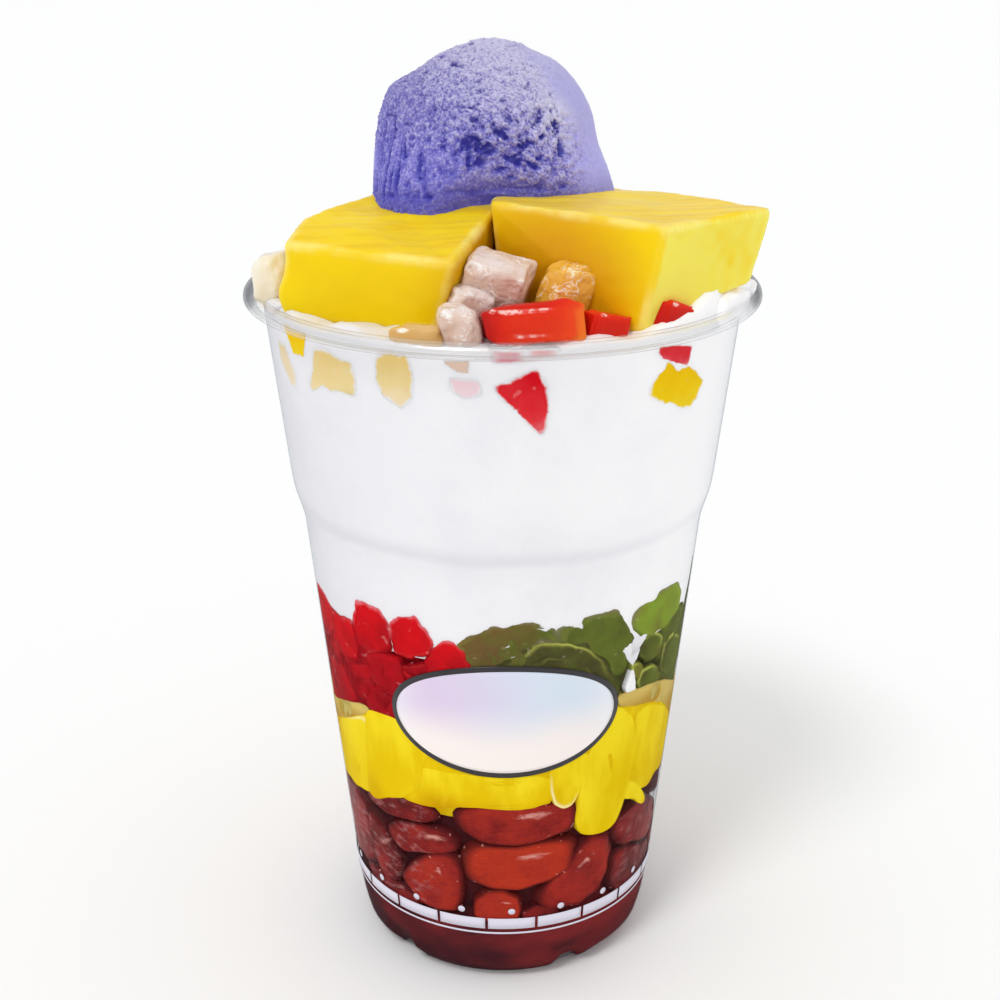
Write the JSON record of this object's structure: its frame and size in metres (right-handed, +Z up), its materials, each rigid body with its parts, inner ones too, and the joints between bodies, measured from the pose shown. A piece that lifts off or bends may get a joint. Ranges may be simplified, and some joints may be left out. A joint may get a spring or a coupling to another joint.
{
  "type": "halo halo",
  "caption": "Layered shaved-ice dessert in a clear tapered plastic cup: beans, fruit, jelly and coconut milk, topped with custard slabs, jelly pieces and a purple scoop.",
  "frame": {"origin": "middle of the cup's base on the surface it stands on", "axes": "+Z up along the cup's axis, -Y towards the front with the oval sticker, +X to the right seen from the front"},
  "size_m": [0.098, 0.098, 0.1824],
  "materials": {
    "clear_cup": "clear, glossy thin plastic",
    "cup_print": "white and black ink and a pearly sticker on the cup",
    "red_beans": "glossy cooked bean skin",
    "bean_syrup": "dark red-brown syrup",
    "jackfruit": "wet glossy yellow fruit",
    "red_jelly": "glossy translucent jelly",
    "green_jelly": "glossy translucent jelly",
    "orange_jelly": "glossy translucent jelly",
    "nata": "wet translucent coconut jelly",
    "palm_fruit": "wet translucent palm fruit",
    "custard": "smooth, slightly moist baked custard",
    "ube": "frosty granular ice cream",
    "coconut_milk": "milk over shaved ice"
  },
  "bodies": {
    "root": {"cup": "clear_cup", "jackfruit": "jackfruit", "red_beans": "red_beans", "red_jelly": "red_jelly", "green_jelly": "green_jelly", "custard_left": "custard", "custard_right": "custard", "jelly_red_front": "red_jelly", "nata_middle": "nata", "nata_middle_low": "nata", "palm_front": "palm_fruit", "jelly_orange_front": "orange_jelly", "jelly_red_small": "red_jelly", "jelly_red_right": "red_jelly", "nata_left": "nata", "palm_left": "palm_fruit", "palm_left_far": "palm_fruit", "jelly_red_back": "red_jelly", "nata_back": "nata", "palm_back": "palm_fruit", "fruit_back": "jackfruit", "jelly_green_back": "green_jelly", "jelly_orange_back": "orange_jelly", "fruit_sunk_left": "jackfruit", "palm_sunk_left": "palm_fruit", "palm_sunk_middle": "palm_fruit", "jelly_red_sunk": "red_jelly", "jelly_red_sunk_right": "red_jelly", "fruit_sunk_right": "jackfruit", "palm_sunk_back": "palm_fruit", "jelly_red_sunk_back": "red_jelly", "fruit_sunk_back": "jackfruit", "ube_scoop": "ube", "coconut_milk": "coconut_milk"}
  },
  "joints": []
}
